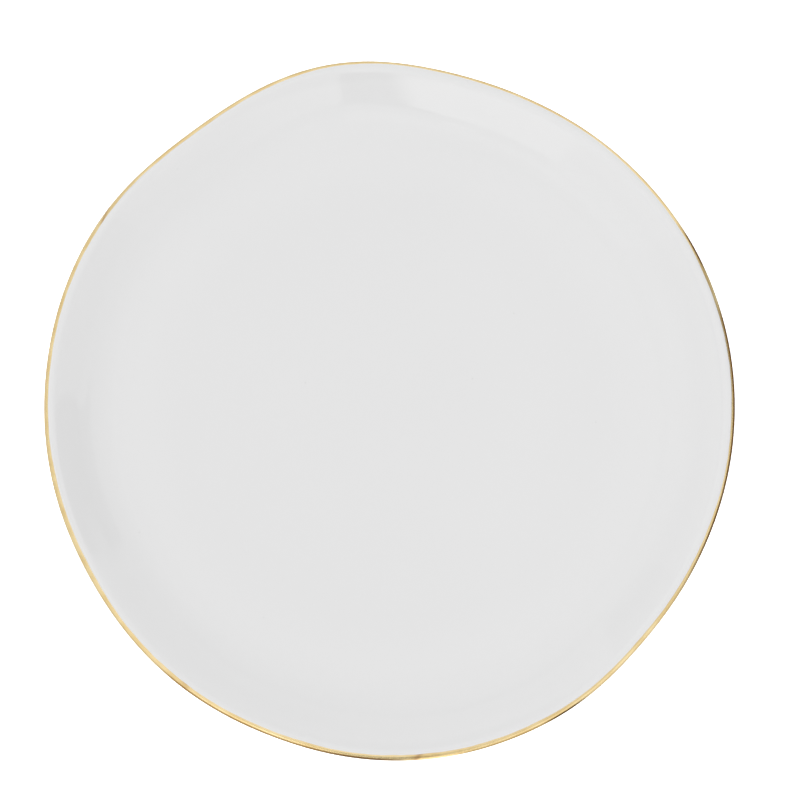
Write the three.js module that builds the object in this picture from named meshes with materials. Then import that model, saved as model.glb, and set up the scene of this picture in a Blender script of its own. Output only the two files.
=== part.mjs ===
// A coupe dinner plate in white porcelain: a bisque body on a turned foot ring, a clear glaze over
// all of it but the foot's tread, and a gilt line brushed along the lip. The rim is shaped by hand,
// so its edge swells outwards in some places and is pressed inwards in others.
//
// Millimetres, +Z up. The origin is on the plate's axis, in the plane that the foot ring stands on.
// A direction round the plate is given in degrees from +X towards +Y.

import * as THREE from 'three';

// ---- Driving dimensions ----

const RIM_RADIUS = 132.5; // mean, to the outside of the gilding
const FLOOR_RADIUS = 104.6; // where the flat floor starts to curve up
const FLOOR_HEIGHT = 7; // top of the bisque
const WELL_FILLET = 24.3; // between the floor and the wall
const WALL_SLOPE = 42; // degrees
const ROLL_RADIUS = 3.15; // the lip's inner half, which rolls over from the wall to the crest
const LIP_RADIUS = 2.3; // the lip's outer half, from the crest down to its edge
const EDGE_SLOPE = 75; // degrees that the lip leans outwards where it tightens into its edge
const EDGE_RADIUS = 0.7; // from there round to the outside of the wall
const WALL_OUTSIDE = 11.5; // straight length of the wall on its outer side
const BELLY_RADIUS = 26.7; // between the outer wall and the underside
const UNDERSIDE_SLOPE = 4; // degrees, falling towards the foot

const FOOT_RADIUS = 84; // to the middle of the tread
const TREAD_WIDTH = 2.6;
const FOOT_CORNER = 0.6; // radius of the tread's two edges
const FOOT_DRAFT = 14; // degrees that the foot's sides lean
const FOOT_FILLET = 1.5; // where the foot meets the underside
const RECESS_HEIGHT = 3.2; // bisque inside the foot ring, above the tread

const GLAZE = 0.3; // thickness
const GILDING = 0.15; // thickness

// The gilding's two edges lie on the rounded lip, at places given by the angle that the surface
// there leans outwards from straight up. The brush sat further in on one side of the plate, where
// the line looks wide from above, and further out on the other.
const GILT_INNER_EDGE = 22;
const GILT_OUTER_EDGE = 114;
const GILT_WANDER = 17; // degrees that the inner edge wanders to each side
const WIDEST_GILT = 263; // direction

// How far the rim stands out beyond its mean radius, by direction, with smooth curves between.
const RIM_SWELL = [
  [0, 0], [25, 0.3], [52, -0.75], [68, -1.2], [80, -0.4], [90, 1.5], [100, 2.6], [110, 1.4],
  [120, -0.6], [128, -1.2], [140, 0.05], [150, 0.7], [172, 0], [192, -0.6], [207, -1.25],
  [232, -0.3], [250, -0.1], [270, 1.35], [285, 1.7], [305, 0.75], [315, -0.85], [328, -1.25],
  [345, -0.65], [360, 0],
];
const SWELL_ENDS = 128; // radius from which the wall moves with its rim
const RISE_PER_SWELL = -0.25; // a rim pressed inwards also stands a little higher

const SECTORS = 72; // facets round the plate

// ---- Profile ----

const { cos, sin, hypot, atan2 } = Math;
const radians = THREE.MathUtils.degToRad;
const degrees = THREE.MathUtils.radToDeg;

// The unit normal, in a section (radius, height), of a surface that leans outwards by an angle.
function leaning(angle) {
  return new THREE.Vector2(sin(radians(angle)), cos(radians(angle)));
}

// A run of points on a round stretch of the bisque, or of a coat on it. Radius is positive where
// the stretch is convex and negative where it is hollow.
function round(centre, radius, angles) {
  return (coat) => angles.map((angle) => leaning(angle).multiplyScalar(radius + coat).add(centre));
}

// A point on the straight line that touches a round stretch where the surface leans by an angle.
function along(centre, radius, angle, distance) {
  const normal = leaning(angle);
  const forward = new THREE.Vector2(normal.y, -normal.x);
  return centre.clone().addScaledVector(normal, radius).addScaledVector(forward, distance);
}

// The centre of a round stretch that touches two lines, each given by a point on it and its lean.
function centreBetween(first, second, radius) {
  const a = leaning(first.lean);
  const b = leaning(second.lean);
  const reachA = a.dot(first.point) - radius;
  const reachB = b.dot(second.point) - radius;
  return new THREE.Vector2(reachA * b.y - reachB * a.y, a.x * reachB - b.x * reachA)
    .divideScalar(a.cross(b));
}

// Angles from one to another in equal steps, both ends included.
function steps(from, to, count) {
  return Array.from({ length: count + 1 }, (_, i) => from + ((to - from) * i) / count);
}

// The lip's crest has to come this far out from the well's centre, and the straight inside of the
// wall makes up what the two round stretches leave.
const wellCentre = new THREE.Vector2(FLOOR_RADIUS, FLOOR_HEIGHT + WELL_FILLET);
const lipToEdge = leaning(EDGE_SLOPE).multiplyScalar(LIP_RADIUS - EDGE_RADIUS);
const wellToCrest = RIM_RADIUS - GILDING - GLAZE - EDGE_RADIUS - lipToEdge.x - FLOOR_RADIUS;
const roundShare = (WELL_FILLET + ROLL_RADIUS) * sin(radians(WALL_SLOPE));
const wallInside = (wellToCrest - roundShare) / cos(radians(WALL_SLOPE));
const wallTop = along(wellCentre, -WELL_FILLET, -WALL_SLOPE, wallInside);
const rollCentre = wallTop.clone().addScaledVector(leaning(-WALL_SLOPE), -ROLL_RADIUS);
const lipCentre = rollCentre.clone().add(new THREE.Vector2(0, ROLL_RADIUS - LIP_RADIUS));
const edgeCentre = lipCentre.clone().add(lipToEdge);
const wallFoot = along(edgeCentre, EDGE_RADIUS, 180 - WALL_SLOPE, WALL_OUTSIDE);
const bellyCentre = wallFoot.clone().addScaledVector(leaning(180 - WALL_SLOPE), -BELLY_RADIUS);
const bellyBottom = along(bellyCentre, BELLY_RADIUS, 180 - UNDERSIDE_SLOPE, 0);
const outerCorner = new THREE.Vector2(FOOT_RADIUS + TREAD_WIDTH / 2, FOOT_CORNER);
const innerCorner = new THREE.Vector2(FOOT_RADIUS - TREAD_WIDTH / 2, FOOT_CORNER);
const outerSide = along(outerCorner, FOOT_CORNER, 90 + FOOT_DRAFT, 0);
const innerSide = along(innerCorner, FOOT_CORNER, 270 - FOOT_DRAFT, 0);
const recess = new THREE.Vector2(0, RECESS_HEIGHT);
const outerRoot = centreBetween(
  { point: bellyBottom, lean: 180 - UNDERSIDE_SLOPE },
  { point: outerSide, lean: 90 + FOOT_DRAFT },
  -FOOT_FILLET,
);
const innerRoot = centreBetween(
  { point: innerSide, lean: 270 - FOOT_DRAFT },
  { point: recess, lean: 180 },
  -FOOT_FILLET,
);

// How far a point is turned outwards from straight above a centre.
function angleRound(centre, point) {
  const arm = point.clone().sub(centre);
  return degrees(atan2(arm.x, arm.y));
}

// The lip's three round stretches, from the wall to the crest, from there to the edge, and from
// there to the outside of the wall. Each holds the points whose angle round its centre is no more
// than its reach, and that none before it holds.
const lipRounds = [
  { centre: rollCentre, radius: ROLL_RADIUS, reach: 0 },
  { centre: lipCentre, radius: LIP_RADIUS, reach: EDGE_SLOPE },
  { centre: edgeCentre, radius: EDGE_RADIUS, reach: 180 },
];

function onLip(angle, coat) {
  const { centre, radius } = lipRounds.find(({ reach }) => angle <= reach);
  return leaning(angle).multiplyScalar(radius + coat).add(centre);
}

const giltAngles = steps(GILT_INNER_EDGE, GILT_OUTER_EDGE, 5);
const lipAngles = [-WALL_SLOPE, -WALL_SLOPE / 2, 0, ...giltAngles, 180 - WALL_SLOPE];

// Each stretch of the section, in order from the middle of the floor over the lip and underneath to
// the middle of the recess. Each takes the thickness of the coat that is on it.
const floor = (coat) => [new THREE.Vector2(0, FLOOR_HEIGHT + coat)];
const well = round(wellCentre, -WELL_FILLET, steps(0, -WALL_SLOPE, 5));
const lip = (coat) => lipAngles.map((angle) => onLip(angle, coat));
const giltLip = (coat) => giltAngles.map((angle) => onLip(angle, coat));
const bellyAngles = steps(180 - WALL_SLOPE, 180 - UNDERSIDE_SLOPE, 4);
const belly = round(bellyCentre, BELLY_RADIUS, bellyAngles);
const rootAngles = steps(180 - UNDERSIDE_SLOPE, 90 + FOOT_DRAFT, 2);
const footOutside = round(outerRoot, -FOOT_FILLET, rootAngles);
const outerTread = round(outerCorner, FOOT_CORNER, steps(90 + FOOT_DRAFT, 180, 2));
const innerTread = round(innerCorner, FOOT_CORNER, steps(180, 270 - FOOT_DRAFT, 2));
const footInside = round(innerRoot, -FOOT_FILLET, steps(270 - FOOT_DRAFT, 180, 2));
const recessMiddle = (coat) => [new THREE.Vector2(0, RECESS_HEIGHT - coat)];

function section(stretches, coat = 0) {
  return stretches.flatMap((stretch) => stretch(coat));
}

// A coat's section: its outer surface, then back along the surface that it lies on.
function coatSection(stretches, under, thickness) {
  return [...section(stretches, under + thickness), ...section(stretches, under).reverse()];
}

// ---- The hand-shaped rim ----

const swellAt = new THREE.CubicInterpolant(
  RIM_SWELL.map(([direction]) => direction),
  RIM_SWELL.map(([, swell]) => swell),
  1,
);
swellAt.settings = { endingStart: THREE.WrapAroundEnding, endingEnd: THREE.WrapAroundEnding };

// Slides a point that lies between the lip's crest and its outer end along the lip's curve, so that
// the gilding's edges wander. Every other point stays where it is.
function slideOnLip(point, direction) {
  const { centre, radius } = lipRounds.find(
    (stretch) => angleRound(stretch.centre, point) <= stretch.reach,
  );
  const angle = angleRound(centre, point);
  const coat = point.distanceTo(centre) - radius;
  const end = angle < GILT_INNER_EDGE ? 0 : 180 - WALL_SLOPE;
  const share = (angle - end) / (GILT_INNER_EDGE - end);
  const isOnLip = angle > 0 && share > 0 && coat < 2 * (GLAZE + GILDING);
  const wander = -GILT_WANDER * cos(radians(direction - WIDEST_GILT));
  return isOnLip ? onLip(angle + wander * share, coat) : point;
}

function directionOf(point) {
  return THREE.MathUtils.euclideanModulo(degrees(atan2(point.y, point.x)), 360);
}

// Moves every point of a turned piece to its place on the hand-shaped plate.
function shapeByHand(geometry) {
  const positions = geometry.attributes.position;
  const point = new THREE.Vector3();
  for (let i = 0; i < positions.count; i += 1) {
    point.fromBufferAttribute(positions, i);
    const radius = hypot(point.x, point.y);
    if (radius > FLOOR_RADIUS) {
      const direction = directionOf(point);
      const placed = slideOnLip(new THREE.Vector2(radius, point.z), direction);
      const share = THREE.MathUtils.smoothstep(placed.x, FLOOR_RADIUS, SWELL_ENDS);
      const swell = swellAt.evaluate(direction)[0] * share;
      const stretch = (placed.x + swell) / radius;
      positions.setXYZ(i, point.x * stretch, point.y * stretch, placed.y + swell * RISE_PER_SWELL);
    }
  }
}

// ---- Solids ----

// Two pieces that share a surface have to share its facets too, whichever way round each of them
// was turned, so every four-sided facet is split along its shorter diagonal.
function splitAlongShorterDiagonals(geometry) {
  const positions = geometry.attributes.position;
  const corner = (i) => new THREE.Vector3().fromBufferAttribute(positions, i);
  const distance = (i, j) => corner(i).distanceTo(corner(j));
  const lathed = geometry.index.array;
  const facets = [];
  for (let i = 0; i < lathed.length; i += 6) {
    const [a, b, d, c] = lathed.subarray(i, i + 4);
    if (distance(a, c) < distance(b, d)) {
      facets.push(a, b, c, a, c, d);
    } else {
      facets.push(a, b, d, b, c, d);
    }
  }
  geometry.setIndex(facets);
}

function turned(name, profile, material) {
  const geometry = new THREE.LatheGeometry(profile, SECTORS);
  geometry.rotateX(Math.PI / 2);
  shapeByHand(geometry);
  splitAlongShorterDiagonals(geometry);
  const mesh = new THREE.Mesh(geometry, material);
  mesh.name = name;
  return mesh;
}

const bisque = new THREE.MeshStandardMaterial({ color: 0xe4e0d8, roughness: 0.85, metalness: 0 });
const whiteGlaze = new THREE.MeshStandardMaterial({ color: 0xf0f0ee, roughness: 0.08, metalness: 0 });
const gilt = new THREE.MeshStandardMaterial({ color: 0xd9ab58, roughness: 0.22, metalness: 1 });

const porcelainBody = turned(
  'porcelain_body',
  section([
    floor, well, lip, belly, footOutside, outerTread, innerTread, footInside, recessMiddle,
  ]).reverse(),
  bisque,
);

const glazeCoat = turned(
  'glaze_coat',
  coatSection([floor, well, lip, belly, footOutside], 0, GLAZE).reverse(),
  whiteGlaze,
);

const baseGlaze = turned(
  'base_glaze',
  coatSection([recessMiddle, (coat) => footInside(coat).reverse()], 0, GLAZE),
  whiteGlaze,
);

const giltSection = coatSection([giltLip], GLAZE, GILDING);
const goldRimBand = turned('gold_rim_band', [...giltSection, giltSection[0]].reverse(), gilt);

const plate = new THREE.Group();
plate.add(porcelainBody, glazeCoat, baseGlaze, goldRimBand);

export default plate;
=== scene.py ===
"""The visual model of a coupe dinner plate: glazed white porcelain with a gilt line along its lip.

Its four pieces are turned afresh, at full smoothness, round the section that the CAD frame gives,
and then shaped by hand as the frame's rim is. Metres, +Z up, with the origin on the plate's axis in
the plane that it stands on. A direction round the plate is an angle from +X towards +Y. A section
is drawn in (radius, height), and a surface's lean is how far its normal tips outwards from
straight up, in degrees.
"""

import math
from collections import namedtuple

import bpy
import numpy as np
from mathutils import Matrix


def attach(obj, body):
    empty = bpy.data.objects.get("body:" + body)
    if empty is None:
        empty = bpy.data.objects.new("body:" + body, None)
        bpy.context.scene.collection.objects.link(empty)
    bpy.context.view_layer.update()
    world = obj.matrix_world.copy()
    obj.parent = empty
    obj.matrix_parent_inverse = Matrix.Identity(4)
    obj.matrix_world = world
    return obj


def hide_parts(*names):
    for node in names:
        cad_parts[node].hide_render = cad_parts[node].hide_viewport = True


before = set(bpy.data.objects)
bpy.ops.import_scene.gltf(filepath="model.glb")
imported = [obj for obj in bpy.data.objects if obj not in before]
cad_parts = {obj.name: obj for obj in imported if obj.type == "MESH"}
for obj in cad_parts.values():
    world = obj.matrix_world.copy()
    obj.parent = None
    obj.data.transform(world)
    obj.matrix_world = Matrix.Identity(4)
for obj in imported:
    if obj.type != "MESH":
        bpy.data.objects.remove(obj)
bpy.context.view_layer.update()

MM = 0.001

# ---- Sizes of the section that the frame's flat facets only stand for. Radii are the bisque's. ----

WELL_FILLET = 24.3 * MM  # between the floor and the wall
ROLL_RADIUS = 3.15 * MM  # the lip's inner half, from the wall to the crest
LIP_RADIUS = 2.3 * MM  # the lip's outer half, from the crest down to its edge
EDGE_LEAN = 75  # where the lip tightens into its edge
EDGE_RADIUS = 0.7 * MM  # from there round to the outside of the wall
WALL_OUTSIDE = 11.5 * MM  # straight length of the wall on its outer side
BELLY_RADIUS = 26.7 * MM  # between the outer wall and the underside
UNDERSIDE_LEAN = 176
FOOT_LEAN = 104  # of the foot ring's outer side
FOOT_CORNER = 0.6 * MM
FOOT_FILLET = 1.5 * MM
GILDING = 0.15 * MM  # the frame's thickness of gold over its glaze
GILT_FILM = 0.03 * MM  # how far the gold really stands proud
SWELL_ENDS = 128 * MM  # radius from which the wall moves with its rim
RIPPLES = [  # faint waves in the wall: (wavelength, height, direction they run in, in radians)
    (61 * MM, 0.05 * MM, 0.4),
    (43 * MM, 0.035 * MM, 1.7),
    (34 * MM, 0.025 * MM, 2.9),
]

# ---- The gilt line, as the brush left it ----

# Lean of the lip at the line's inner edge, every 30 degrees from +X.
GILT_INNER_EDGE = [25, 30, 34, 35, 24, 24, 16, 10, 7, 6, 5, 18]
GILT_OUTER_EDGE = 114
# Where one stroke of the brush laps over the last: direction, half the lap's width, and how far its
# outer end runs ahead of its inner end, all in degrees, and how dark it is.
LAPS = [(144, 0.8, -5, 0.55), (234, 0.9, 2, 0.25), (274.3, 0.6, -1.5, 0.55)]
LAP_RIDGE = 0.04 * MM
GILT_UNDER = 0.02 * MM  # how far the film's underside lies in the glaze, so that no gap shows

# ---- Fineness of the meshes ----

CAD_SECTORS = 72
COLUMNS = 576  # round the plate, halved towards the axis
GILT_COLUMNS = 1440
GILT_ROWS = 24  # facets across the gilt line
NARROWEST = 0.5 * MM  # a facet narrower than this starts the halving
SWELL_WAVES = 18  # most waves to a turn that the rim's outline keeps
RISE_WAVES = 12  # and its height
GILT_WAVES = 5  # and the gilt line's inner edge, but for the brush's wavering
FINE = {"turn": 6, "chord": 1.6 * MM, "straight": 4 * MM}  # most degrees and lengths of a facet
HIDDEN = {"turn": 15, "chord": 4 * MM, "straight": 12 * MM}
SHARPEST_SMOOTH = 50  # degrees between facets, past which the edge between them shows

Round = namedtuple("Round", "centre radius")  # radius is negative where the surface is hollow


# ---- What the frame says ----


def cad_points(node):
    """The directions, radii and heights of a CAD node's vertices."""
    points = np.array([v.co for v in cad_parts[node].data.vertices])
    return np.arctan2(points[:, 1], points[:, 0]), np.hypot(points[:, 0], points[:, 1]), points[:, 2]


def by_sector(directions, values):
    """The largest value in each of the CAD's sectors."""
    sector = np.round(directions / (2 * np.pi / CAD_SECTORS)).astype(int) % CAD_SECTORS
    return np.array([values[sector == k].max() for k in range(CAD_SECTORS)])


def smooth_round(values, harmonics):
    """A smooth function of direction through values at even directions from +X."""
    terms = np.fft.rfft(values)[: harmonics + 1] / len(values)
    terms[1:] *= 2
    orders = np.arange(len(terms))
    return lambda direction: np.real(np.exp(1j * np.multiply.outer(direction, orders)) @ terms)


gilt_directions, gilt_radii, _ = cad_points("gold_rim_band")
rim_radii = by_sector(gilt_directions, gilt_radii)
swell = smooth_round(rim_radii - rim_radii.mean(), SWELL_WAVES)
top_directions, top_radii, top_heights = cad_points("glaze_coat")
crest_heights = by_sector(top_directions, top_heights)
rise = smooth_round(crest_heights - crest_heights.mean(), RISE_WAVES)

_, body_radii, body_heights = cad_points("porcelain_body")
_, base_radii, base_heights = cad_points("base_glaze")
on_axis = base_radii < 1 * MM
recess_height = base_heights[on_axis].max()
GLAZE = recess_height - base_heights[on_axis].min()
floor_height = top_heights[top_radii < 1 * MM].max() - GLAZE
on_floor = (np.abs(top_heights - floor_height - GLAZE) < 0.01 * MM) & (top_radii > 1 * MM)
floor_radius = top_radii[on_floor].min()
tread_radii = body_radii[body_heights < 0.01 * MM]


# ---- The section ----


def leaning(lean):
    """The unit normal of a surface with that lean."""
    return np.stack([np.sin(np.radians(lean)), np.cos(np.radians(lean))], axis=-1)


def forward(lean):
    """The direction along a surface with that lean, from the well over the lip to underneath."""
    return np.stack([np.cos(np.radians(lean)), -np.sin(np.radians(lean))], axis=-1)


def on(round_, lean):
    """The point, or points, of a round where it leans so much."""
    return round_.centre + round_.radius * leaning(lean)


def coated(round_, coat):
    """The same round under a coat."""
    return Round(round_.centre, round_.radius + coat)


def tangent(first, second, near):
    """The lean, near a given one, of the straight line that touches two rounds."""
    across = second.centre - first.centre
    bearing = math.degrees(math.atan2(across[0], across[1]))
    swing = math.degrees(math.acos((first.radius - second.radius) / np.hypot(*across)))
    leans = [bearing - swing, bearing + swing, bearing - swing + 360]
    return min(leans, key=lambda lean: abs(lean - near))


def centre_between(point_a, lean_a, point_b, lean_b, radius):
    """The centre of a round that touches two lines, each given by a point on it and its lean."""
    normals = np.array([leaning(lean_a), leaning(lean_b)])
    reaches = [normals[0] @ point_a - radius, normals[1] @ point_b - radius]
    return np.linalg.solve(normals, reaches)


def arc(round_, start, end, fineness):
    """Points of a round from one lean to another."""
    turn = abs(end - start)
    length = abs(math.radians(turn) * round_.radius)
    steps = math.ceil(max(turn / fineness["turn"], length / fineness["chord"], 1))
    return on(round_, np.linspace(start, end, steps + 1))


def with_straights(points, fineness):
    """The same points, with more of them along the stretches that are longer than a facet may be."""
    filled = [points[:1]]
    for start, end in zip(points, points[1:]):
        steps = max(1, math.ceil(np.hypot(*(end - start)) / fineness["straight"]))
        filled.append(start + (end - start) * (np.arange(1, steps + 1) / steps)[:, None])
    return np.concatenate(filled)


def joined(rounds, leans, fineness):
    """Points along rounds that run into each other. leans holds the lean at the start, at each
    join, and at the end."""
    arcs = [arc(r, start, end, fineness) for r, start, end in zip(rounds, leans, leans[1:])]
    return np.concatenate([arcs[0], *(a[1:] for a in arcs[1:])])


lip_to_edge = (LIP_RADIUS - EDGE_RADIUS) * leaning(EDGE_LEAN)
crest_radius = rim_radii.mean() - GILDING - GLAZE - EDGE_RADIUS - lip_to_edge[0]
crest = np.array([crest_radius, crest_heights.mean() - GLAZE])
roll = Round(crest - [0, ROLL_RADIUS], ROLL_RADIUS)
lip = Round(crest - [0, LIP_RADIUS], LIP_RADIUS)
edge = Round(lip.centre + lip_to_edge, EDGE_RADIUS)
well = Round(np.array([floor_radius, floor_height + WELL_FILLET]), -WELL_FILLET)
wall_lean = tangent(well, roll, -42)
outer_lean = wall_lean + 180
wall_foot = on(edge, outer_lean) + WALL_OUTSIDE * forward(outer_lean)
belly = Round(wall_foot - BELLY_RADIUS * leaning(outer_lean), BELLY_RADIUS)

outer_corner = Round(np.array([tread_radii.max(), FOOT_CORNER]), FOOT_CORNER)
inner_corner = Round(np.array([tread_radii.min(), FOOT_CORNER]), FOOT_CORNER)
recess = np.array([0, recess_height])
INNER_FOOT_LEAN = 360 - FOOT_LEAN
outer_root = Round(
    centre_between(
        on(belly, UNDERSIDE_LEAN), UNDERSIDE_LEAN, on(outer_corner, FOOT_LEAN), FOOT_LEAN, -FOOT_FILLET
    ),
    -FOOT_FILLET,
)
inner_root = Round(
    centre_between(on(inner_corner, INNER_FOOT_LEAN), INNER_FOOT_LEAN, recess, 180, -FOOT_FILLET),
    -FOOT_FILLET,
)


def top_section(coat, lip_coat, fineness):
    """From the middle of the floor over the lip and underneath to the side of the foot ring."""
    hollow, belly_coated, root = (coated(r, coat) for r in (well, belly, outer_root))
    lip_rounds = [coated(r, lip_coat) for r in (roll, lip, edge)]
    inside = tangent(hollow, lip_rounds[0], wall_lean)
    outside = tangent(lip_rounds[2], belly_coated, outer_lean)
    stretches = [
        [[0, floor_height + coat]],
        arc(hollow, 0, inside, fineness),
        joined(lip_rounds, [inside, 0, EDGE_LEAN, outside], fineness),
        arc(belly_coated, outside, UNDERSIDE_LEAN, fineness),
        arc(root, UNDERSIDE_LEAN, FOOT_LEAN, fineness),
    ]
    return with_straights(np.concatenate(stretches), fineness)


def base_section(coat, fineness):
    """From the middle of the recess to the inner side of the foot ring."""
    curved = arc(coated(inner_root, coat), 180, INNER_FOOT_LEAN, fineness)
    return with_straights(np.concatenate([[[0, recess_height - coat]], curved]), fineness)


def toe(round_, lean, way, fineness):
    """The rounded edge in which a coat of glaze ends, on a surface with that lean. It runs on
    forwards where way is 1 and backwards where it is -1."""
    turns = np.radians(np.arange(fineness["turn"] * 3, 90, fineness["turn"] * 3))[:, None]
    reach = np.cos(turns) * leaning(lean) + np.sin(turns) * way * forward(lean)
    return on(round_, lean) + GLAZE * reach


# ---- Meshes ----


def columns_at(radius, columns):
    """How many facets go round at a radius: fewer towards the axis, by halves."""
    while columns % 2 == 0 and 2 * np.pi * radius / columns < NARROWEST:
        columns //= 2
    return columns


def ring_faces(first, second):
    """The facets between two rings of vertex numbers, the second as many as the first, or twice or
    half as many. They face left of the way from the first to the second."""
    if len(first) == 1:
        return [(first[0], second[k], second[(k + 1) % len(second)]) for k in range(len(second))]
    if len(second) < len(first):
        return [face[::-1] for face in ring_faces(second, first)]
    count = len(first)
    if len(second) == count:
        return [
            (first[k], second[k], second[(k + 1) % count], first[(k + 1) % count])
            for k in range(count)
        ]
    faces = []
    for k in range(count):
        here, there = first[k], first[(k + 1) % count]
        a, b, c = (second[(2 * k + i) % len(second)] for i in range(3))
        faces += [(here, a, b), (here, b, there), (there, b, c)]
    return faces


def mesh_object(name, points, faces, material):
    """A piece with smooth shading, made of points and of facets that list them."""
    mesh = bpy.data.meshes.new(name)
    mesh.from_pydata(points.tolist(), [], faces)
    mesh.validate()
    mesh.shade_smooth()
    mesh.set_sharp_from_angle(angle=math.radians(SHARPEST_SMOOTH))
    mesh.materials.append(material)
    piece = bpy.data.objects.new(name, mesh)
    bpy.context.scene.collection.objects.link(piece)
    return piece


def turned(name, section, material):
    """A closed solid turned round the axis from a section that starts and ends on it."""
    rows, faces, above = [], [], None
    start = 0
    for radius, height in section:
        count = 1 if radius < 1e-9 else columns_at(radius, COLUMNS)
        directions = np.arange(count) * 2 * np.pi / count
        rows.append(np.stack([directions, np.full(count, radius), np.full(count, height)], axis=-1))
        ring = range(start, start + count)
        if above is not None:
            faces += ring_faces(above, ring)
        above = ring
        start += count
    return mesh_object(name, by_hand(np.concatenate(rows)), faces, material)


# ---- The hand-shaped rim ----


def by_hand(rows):
    """Turned points, as rows of direction, radius and height, moved to where the hand-shaped plate
    has them, as rows of x, y and z."""
    direction, radius, height = rows.T
    share = np.clip((radius - floor_radius) / (SWELL_ENDS - floor_radius), 0, 1)
    share = share * share * (3 - 2 * share)  # eased at both ends
    out = radius + swell(direction) * share
    x, y = out * np.cos(direction), out * np.sin(direction)
    up = height + rise(direction) * share
    for wavelength, size, way in RIPPLES:
        phase = (x * math.cos(way) + y * math.sin(way)) * 2 * np.pi / wavelength
        up = up + size * share * np.sin(phase + way)
    return np.stack([x, y, up], axis=-1)


# ---- Shader graphs ----


class Graph:
    """Short ways to add nodes to one shader tree. A value is a number, a colour or a socket."""

    def __init__(self, owner):
        owner.use_nodes = True
        self.tree = owner.node_tree
        self.tree.nodes.clear()

    def node(self, kind, inputs=(), **settings):
        made = self.tree.nodes.new(kind)
        for key, value in settings.items():
            setattr(made, key, value)
        for key, value in dict(inputs).items():
            self.feed(made.inputs[key], value)
        return made

    def feed(self, socket, value):
        if isinstance(value, bpy.types.NodeSocket):
            self.tree.links.new(value, socket)
        else:
            socket.default_value = value

    def math(self, operation, *values):
        return self.node("ShaderNodeMath", enumerate(values), operation=operation).outputs[0]

    def between(self, value, low, high, start=0.0, end=1.0):
        """start below low and end above high, with a smooth change between."""
        inputs = {"Value": value, "From Min": low, "From Max": high, "To Min": start, "To Max": end}
        return self.node("ShaderNodeMapRange", inputs, interpolation_type="SMOOTHSTEP").outputs[0]

    def mix(self, share, a, b, blend_type="MIX"):
        made = self.node("ShaderNodeMix", data_type="RGBA", blend_type=blend_type)
        self.feed(made.inputs[0], share)
        self.feed(made.inputs[6], a)
        self.feed(made.inputs[7], b)
        return made.outputs[2]

    def blend(self, share, a, b):
        return self.node("ShaderNodeMix", {0: share, 2: a, 3: b}, data_type="FLOAT").outputs[0]

    def noise(self, where, scale, detail=2.0, roughness=0.5):
        inputs = {"Vector": where, "Scale": scale, "Detail": detail, "Roughness": roughness}
        return self.node("ShaderNodeTexNoise", inputs).outputs[0]

    def bump(self, height, distance, normal=None):
        inputs = {"Height": height, "Distance": distance}
        made = self.node("ShaderNodeBump", inputs)
        if normal is not None:
            self.feed(made.inputs["Normal"], normal)
        return made.outputs[0]

    def finish(self, shader, kind="ShaderNodeOutputMaterial"):
        self.node(kind, {"Surface": shader})


def grey(value):
    """A neutral colour."""
    return (value, value, value, 1.0)


def glaze_material():
    """White glaze: a very slight orange peel, faint clouding, painted shade that greys the middle of the
    floor and everything from the lip outwards, and a few pin-point specks."""
    material = bpy.data.materials.new("white_glaze")
    graph = Graph(material)
    where = graph.node("ShaderNodeTexCoord").outputs["Object"]
    clouding = graph.noise(where, 28, detail=3)
    colour = graph.mix(clouding, (0.834, 0.834, 0.835, 1), (0.842, 0.842, 0.843, 1))
    level = graph.node("ShaderNodeVectorMath", {0: where, 1: (1, 1, 0)}, operation="MULTIPLY")
    radius = graph.node("ShaderNodeVectorMath", {0: level.outputs[0]}, operation="LENGTH").outputs[1]
    # Painted shade: the colour turns a shade greyer over the middle of the floor and from the lip
    # outwards.
    floor_shade_paint = graph.between(radius, 78 * MM, 108 * MM, 1, 0)
    lip_shade_paint = graph.between(radius, 126 * MM, 129 * MM, 0, 0.7)
    painted_shade = graph.math("MAXIMUM", floor_shade_paint, lip_shade_paint)
    colour = graph.mix(painted_shade, colour, grey(0.972), "MULTIPLY")
    cells = graph.node(
        "ShaderNodeTexVoronoi", {"Vector": where, "Scale": 62}, voronoi_dimensions="2D"
    )
    lot = graph.node("ShaderNodeSeparateColor", {"Color": cells.outputs["Color"]}).outputs[0]
    chosen = graph.between(lot, 0.955, 0.965)
    speck = graph.math("MULTIPLY", chosen, graph.between(cells.outputs["Distance"], 0.005, 0.012, 1, 0))
    colour = graph.mix(graph.math("MULTIPLY", speck, 0.6), colour, (0.23, 0.21, 0.18, 1))
    peel = graph.noise(where, 420, detail=1)
    slow_peel = graph.noise(where, 75, detail=1)
    normal = graph.bump(slow_peel, 0.004 * MM, normal=graph.bump(peel, 0.0006 * MM))
    roughness = graph.between(graph.noise(where, 45), 0.3, 0.7, 0.02, 0.05)
    inputs = {"Base Color": colour, "Roughness": roughness, "IOR": 1.52, "Normal": normal}
    graph.finish(graph.node("ShaderNodeBsdfPrincipled", inputs).outputs[0])
    return material


def bisque_material():
    """Fired, unglazed porcelain: matte, with a fine grain and a few darker grains in it."""
    material = bpy.data.materials.new("bisque")
    graph = Graph(material)
    where = graph.node("ShaderNodeTexCoord").outputs["Object"]
    grain = graph.noise(where, 2600, detail=3, roughness=0.7)
    stain = graph.noise(where, 60, detail=3)
    colour = graph.mix(stain, (0.66, 0.62, 0.55, 1), (0.75, 0.72, 0.67, 1))
    dark = graph.between(graph.noise(where, 1500, detail=1), 0.70, 0.76, 0, 0.35)
    colour = graph.mix(dark, colour, (0.35, 0.30, 0.24, 1))
    normal = graph.bump(grain, 0.02 * MM)
    roughness = graph.between(grain, 0.2, 0.8, 0.78, 0.95)
    inputs = {"Base Color": colour, "Roughness": roughness, "Normal": normal}
    graph.finish(graph.node("ShaderNodeBsdfPrincipled", inputs).outputs[0])
    return material


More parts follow.
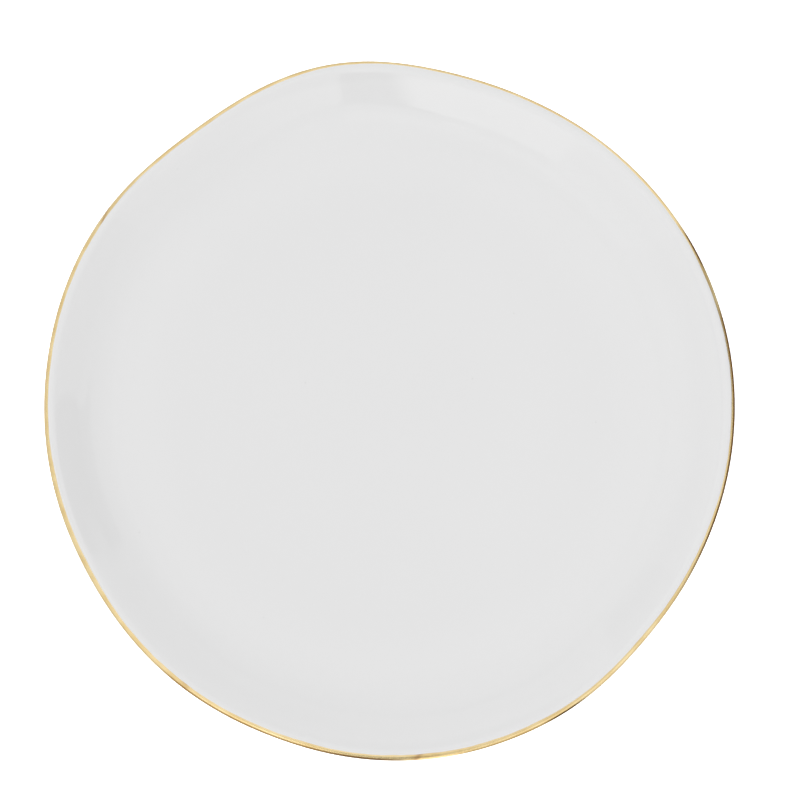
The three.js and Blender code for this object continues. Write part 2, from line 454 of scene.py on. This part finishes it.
def gilding_material():
    """Bright fired gold, brushed on: fine streaks along the brush, paler where it went on thin and
    browner where two strokes lap."""
    material = bpy.data.materials.new("gilding")
    graph = Graph(material)
    where = graph.node("ShaderNodeTexCoord").outputs["Object"]
    across = graph.node("ShaderNodeAttribute", attribute_name="across").outputs["Fac"]
    lap = graph.node("ShaderNodeAttribute", attribute_name="lap").outputs["Fac"]
    patches = graph.between(graph.noise(where, 90, detail=3), 0.3, 0.7)
    colour = graph.mix(patches, (0.75, 0.56, 0.26, 1), (0.86, 0.69, 0.38, 1))
    colour = graph.mix(graph.between(across, 0.0, 0.15, 0.3, 0), colour, (0.86, 0.76, 0.54, 1))
    colour = graph.mix(lap, colour, (0.38, 0.19, 0.07, 1))
    streaks = graph.node(
        "ShaderNodeTexNoise",
        {"Vector": where, "W": graph.math("MULTIPLY", across, 14), "Scale": 30, "Detail": 3},
        noise_dimensions="4D",
    ).outputs[0]
    normal = graph.bump(streaks, 0.02 * MM)
    roughness = graph.between(streaks, 0.3, 0.7, 0.10, 0.17)
    inputs = {"Base Color": colour, "Metallic": 1.0, "Roughness": roughness, "Normal": normal}
    graph.finish(graph.node("ShaderNodeBsdfPrincipled", inputs).outputs[0])
    return material


# ---- Pieces ----


def place(piece, node):
    """Have a piece stand for a CAD node: the node is hidden and the piece hangs from the root body."""
    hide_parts(node)
    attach(piece, "root")


def make_body(material):
    """The bisque, which shows only at the foot ring's bare tread."""
    outside = top_section(0, 0, HIDDEN)
    corners = joined([outer_corner, inner_corner], [FOOT_LEAN, 180, INNER_FOOT_LEAN], FINE)
    section = np.concatenate([outside, corners, base_section(0, HIDDEN)[::-1]])
    place(turned("bisque_body", section[::-1], material), "porcelain_body")


def make_glaze(material):
    """The coat from the middle of the floor over the lip to the side of the foot ring."""
    outside = top_section(GLAZE, GLAZE + GILDING - GILT_FILM, FINE)
    section = np.concatenate(
        [outside, toe(outer_root, FOOT_LEAN, 1, FINE), top_section(0, 0, HIDDEN)[::-1]]
    )
    place(turned("glaze", section[::-1], material), "glaze_coat")


def make_base_glaze(material):
    """The coat inside the foot ring."""
    outside = base_section(GLAZE, FINE)
    section = np.concatenate(
        [outside, toe(inner_root, INNER_FOOT_LEAN, -1, FINE), base_section(0, HIDDEN)[::-1]]
    )
    place(turned("glaze_inside_foot", section, material), "base_glaze")


def wavering(seed, slowest, fastest, size):
    """A seeded, uneven function of direction: waves from slowest to fastest to a turn, the faster
    the smaller, of a given typical size."""
    random = np.random.default_rng(seed)
    orders = np.arange(slowest, fastest + 1)
    heights = random.normal(size=len(orders)) / orders**0.8
    heights *= size / np.sqrt((heights**2).sum() / 2)
    phases = random.uniform(0, 2 * np.pi, len(orders))
    return lambda direction: np.cos(np.multiply.outer(direction, orders) + phases) @ heights


def on_lip(leans, coats):
    """Points on the lip's three rounds, from arrays of lean and of the coat's thickness there."""
    which = np.searchsorted([0, EDGE_LEAN], leans)
    centres = np.array([roll.centre, lip.centre, edge.centre])[which]
    radii = np.array([ROLL_RADIUS, LIP_RADIUS, EDGE_RADIUS])[which]
    return centres + (radii + coats)[:, None] * leaning(leans)


def laps_at(directions, share):
    """How far a point of the gilt line is in one of the brush's laps, from 0 to 1."""
    deep = np.zeros(len(directions))
    for direction, half_width, slant, darkness in LAPS:
        off = np.degrees(directions) - direction - slant * (share - 0.5)
        deep = np.maximum(deep, darkness * np.exp(-((off / half_width) ** 2)))
    return deep


def make_gilding(material):
    """The gilt line: a closed film that lies on the lip between the two painted edges."""
    directions = np.arange(GILT_COLUMNS) * 2 * np.pi / GILT_COLUMNS
    inner = smooth_round(np.array(GILT_INNER_EDGE), GILT_WAVES)(directions)
    inner = inner + wavering(3, 8, 160, 1.6)(directions)
    outer = GILT_OUTER_EDGE + wavering(4, 5, 160, 2.5)(directions)
    across = np.linspace(0, 1, GILT_ROWS + 1)
    film = GILT_FILM * np.minimum(1, np.sin(np.pi * across) * 3)
    shares = np.concatenate([across, across[-2:0:-2]])
    films = np.concatenate([film, np.full(len(shares) - len(film), -GILT_UNDER)])
    rows, laps = [], []
    for share, thickness in zip(shares, films):
        laps.append(laps_at(directions, share))
        ridge = LAP_RIDGE * laps[-1] * (thickness > 0)
        coats = GLAZE + GILDING - GILT_FILM + thickness + ridge
        section = on_lip(inner + (outer - inner) * share, coats)
        rows.append(np.column_stack([directions, section]))
    rings = [range(k * GILT_COLUMNS, (k + 1) * GILT_COLUMNS) for k in range(len(rows))]
    faces = [f for a, b in zip(rings, rings[1:] + rings[:1]) for f in ring_faces(b, a)]
    piece = mesh_object("gilt_line", by_hand(np.concatenate(rows)), faces, material)
    for name, values in (("across", np.repeat(shares, GILT_COLUMNS)), ("lap", np.concatenate(laps))):
        attribute = piece.data.attributes.new(name, "FLOAT", "POINT")
        attribute.data.foreach_set("value", values.astype(np.float32))
    place(piece, "gold_rim_band")


make_body(bisque_material())
white_glaze = glaze_material()
make_glaze(white_glaze)
make_base_glaze(white_glaze)
make_gilding(gilding_material())


# ---- The studio ----

VIEW_WIDTH = 306.56 * MM  # what the picture takes in, at the height of the lip's outermost line
VIEW_MIDDLE = (4.13 * MM, 4.44 * MM)
LENS = 120
SENSOR = 36

Panel = namedtuple("Panel", "first last low high light soft is_round", defaults=[0.7, False])
SOFT_TOP = 1  # degrees over which a panel fades above and below each of its level edges

# What stands round the plate: the directions between which each panel is seen, the heights between
# which it is seen, all in degrees, how bright it is, and over how many degrees to each side of its
# ends it fades. A later one hides an earlier one.
PANELS = [
    Panel(40, 140, 36, 50, 0.88),  # edge of the ceiling, behind
    Panel(238, 300, 36, 50, 0.88),  # and in front
    Panel(215, 278, 52, 66, 1.16),  # ceiling light
    Panel(252, 256, 46, 48, 2.6),  # two lamps
    Panel(287, 291, 59, 61, 1.6),
    Panel(-70, 75, 84.6, 88, 1.08, soft=15),  # glow on the ceiling
    Panel(28, 140, -90, 36, 1.075),  # white wall behind
    Panel(45, 140, 41, 43, 0.45),  # dark rail above it
    Panel(138.6, 150, -90, 38, 0.80),  # corner
    Panel(150, 214, -90, 40, 0.95),  # grey wall to the left
    Panel(213, 238, -90, 44, 1.12),  # white board
    Panel(237, 258, -90, 33.5, 1.5),  # softbox
    Panel(257.5, 279, -90, 39, 0.36),  # gap between the softboxes
    Panel(253, 260.7, -90, 33.5, 1.62, soft=2.5),  # bright end of the first softbox
    Panel(277.7, 289, -90, 34, 1.2),  # second softbox
    Panel(289, 322, -90, 36, 1.16),  # white wall in front, to the right
    Panel(290, 303, -90, 36, 1.26, soft=3),
    Panel(321, 352, -90, 36, 1.02),
    Panel(-7, 26.5, 9, 40, 0.42),  # dark doorway to the right
    Panel(-14, 0, 8, 36, 1.0, is_round=True),  # something round and white in front of it
]

Tone = namedtuple("Tone", "direction full gone nearest colour")

# Painted shade, in dark and brownish tones, and one painted glow paler than white, laid on the floor low
# down round about; the world's light low down takes the same tones. From above they show in the outer
# half of the gilt line only. Each tone is full within so many degrees of its direction and gone at so
# many, and starts at a distance from the axis. A later one hides an earlier one.
PAINTED_SHADE_AND_GLOW = [
    # painted shade on the floor, to the right of the plate
    Tone(357, 16, 36, 142 * MM, (0.19, 0.12, 0.06, 1)),
    Tone(21, 3, 5, 142 * MM, (0.66, 0.68, 0.66, 1)),
    Tone(28, 2.5, 4, 142 * MM, (0.16, 0.09, 0.04, 1)),
    Tone(245, 12, 20, 150 * MM, (0.55, 0.44, 0.30, 1)),
    Tone(288, 8, 14, 150 * MM, (0.70, 0.62, 0.48, 1)),
    Tone(265, 2, 11, 150 * MM, (0.20, 0.12, 0.06, 1)),
    Tone(301, 2.5, 4.5, 150 * MM, (0.10, 0.06, 0.02, 1)),
    # painted glow: a patch of floor paler than white, which the gilt mirrors as a highlight
    Tone(277.5, 3, 5, 150 * MM, (1.7, 1.7, 1.6, 1)),
]
TONE_FADE = 4 * MM
LOW_ENDS = 3  # degrees above level
FAR = 1.0  # a distance past which every tone has started
PALE = 0.93  # the floor and the room beyond it between those tones

DOME_LIGHT = 0.94  # all round above the panels
LIGHTER_LEFT = 0.08  # how much brighter the dome is on its left than in its middle
LEFT = 200  # the direction of its brightest side
FLOOR_SHOWN = 2.2  # the floor and the backdrop as the camera sees them
BACKDROP_SHOWN = 1.1
FLOOR_SIZE = 3.0
FLOOR_CORNERS = 96
FLOOR_DROP = 0.05 * MM  # how far the floor lies below the plate's tread


def make_camera():
    """Straight above the plate, a long lens's distance away."""
    data = bpy.data.cameras.new("camera")
    data.lens = LENS
    data.sensor_width = SENSOR
    camera = bpy.data.objects.new("camera", data)
    camera.location = (*VIEW_MIDDLE, edge.centre[1] + VIEW_WIDTH * LENS / SENSOR)
    bpy.context.scene.collection.objects.link(camera)
    bpy.context.scene.camera = camera


def turn_from(graph, across, middle):
    """Degrees between a level direction and another, given as its direction round the plate."""
    way = (math.cos(math.radians(middle)), math.sin(math.radians(middle)), 0)
    cosine = graph.node("ShaderNodeVectorMath", {0: across, 1: way}, operation="DOT_PRODUCT").outputs[1]
    return graph.math("MULTIPLY", graph.math("ARCCOSINE", cosine), 180 / math.pi)


def where_shown(graph, panel, across, height):
    """1 in the directions that a panel fills, and 0 beside it. A round panel is an ellipse that
    touches the edges that the others would have."""
    half_width = (panel.last - panel.first) / 2
    half_height = (panel.high - panel.low) / 2
    turn = turn_from(graph, across, (panel.first + panel.last) / 2)
    lift = graph.math("ABSOLUTE", graph.math("SUBTRACT", height, (panel.low + panel.high) / 2))
    if panel.is_round:
        sideways = graph.math("DIVIDE", turn, half_width)
        upwards = graph.math("DIVIDE", lift, half_height)
        squares = [graph.math("MULTIPLY", part, part) for part in (sideways, upwards)]
        reach = graph.math("SQRT", graph.math("ADD", *squares))
        return graph.between(reach, 0.95, 1.05, 1, 0)
    within_width = graph.between(turn, half_width - panel.soft, half_width + panel.soft, 1, 0)
    within_height = graph.between(lift, half_height - SOFT_TOP, half_height + SOFT_TOP, 1, 0)
    return graph.math("MULTIPLY", within_width, within_height)


def level_direction(graph, where):
    """The direction round the plate in which a point or a ray lies, as a level vector."""
    level = graph.node("ShaderNodeVectorMath", {0: where, 1: (1, 1, 0)}, operation="MULTIPLY").outputs[0]
    return graph.node("ShaderNodeVectorMath", {0: level}, operation="NORMALIZE").outputs[0]


def low_colour(graph, across, radius):
    """The colour low down in a level direction, at a distance from the axis: pale, with the tones'
    painted shade and painted glow over it.
    """
    colour = grey(PALE)
    for tone in PAINTED_SHADE_AND_GLOW:
        share = graph.between(turn_from(graph, across, tone.direction), tone.full, tone.gone, 1, 0)
        started = graph.between(radius, tone.nearest - TONE_FADE, tone.nearest + TONE_FADE)
        share = graph.math("MULTIPLY", share, started)
        colour = graph.mix(share, colour, tone.colour)
    return colour


def make_floor():
    """A pale sheet, which the camera sees so bright that only its shadows show. To every other ray it
    carries the painted shade and the painted glow of the low tones.
    """
    material = bpy.data.materials.new("studio_floor")
    graph = Graph(material)
    where = graph.node("ShaderNodeTexCoord").outputs["Object"]
    radius = graph.node("ShaderNodeVectorMath", {0: where}, operation="LENGTH").outputs[1]
    # painted shade and glow, seen by every ray but the camera's
    colour = low_colour(graph, level_direction(graph, where), radius)
    seen = graph.node("ShaderNodeLightPath").outputs["Is Camera Ray"]
    colour = graph.mix(seen, colour, grey(FLOOR_SHOWN))
    graph.finish(graph.node("ShaderNodeBsdfDiffuse", {"Color": colour}).outputs[0])
    mesh = bpy.data.meshes.new("studio_floor")
    turns = np.arange(FLOOR_CORNERS) * 2 * np.pi / FLOOR_CORNERS
    x, y = FLOOR_SIZE * np.cos(turns), FLOOR_SIZE * np.sin(turns)
    points = np.stack([x, y, np.full(FLOOR_CORNERS, -FLOOR_DROP)], axis=-1)
    mesh.from_pydata(points.tolist(), [], [tuple(range(FLOOR_CORNERS))])
    mesh.materials.append(material)
    floor = bpy.data.objects.new("studio_floor", mesh)
    bpy.context.scene.collection.objects.link(floor)


def make_world():
    """Soft light from above, brightest from the left, and the panels round about."""
    world = bpy.data.worlds.new("studio")
    bpy.context.scene.world = world
    graph = Graph(world)
    where = graph.node("ShaderNodeTexCoord").outputs["Generated"]
    across = level_direction(graph, where)
    rise_sine = graph.node("ShaderNodeSeparateXYZ", {0: where}).outputs[2]
    height = graph.math("MULTIPLY", graph.math("ARCSINE", rise_sine), 180 / math.pi)
    leftwards = graph.math("COSINE", graph.math("RADIANS", turn_from(graph, across, LEFT)))
    spread = graph.between(height, 60, 90, LIGHTER_LEFT, 0)
    light = graph.math("MULTIPLY_ADD", leftwards, spread, DOME_LIGHT)
    for panel in PANELS:
        light = graph.blend(where_shown(graph, panel, across, height), light, panel.light)
    colour = graph.node("ShaderNodeCombineColor", {0: light, 1: light, 2: light}).outputs[0]
    low = graph.between(height, LOW_ENDS - 1, LOW_ENDS + 1, 1, 0)
    colour = graph.mix(low, colour, low_colour(graph, across, FAR))
    seen = graph.node("ShaderNodeLightPath").outputs["Is Camera Ray"]
    colour = graph.mix(seen, colour, grey(BACKDROP_SHOWN))
    graph.finish(
        graph.node("ShaderNodeBackground", {"Color": colour}).outputs[0], "ShaderNodeOutputWorld"
    )


make_camera()
make_floor()
make_world()
bpy.context.scene.view_settings.view_transform = "Standard"
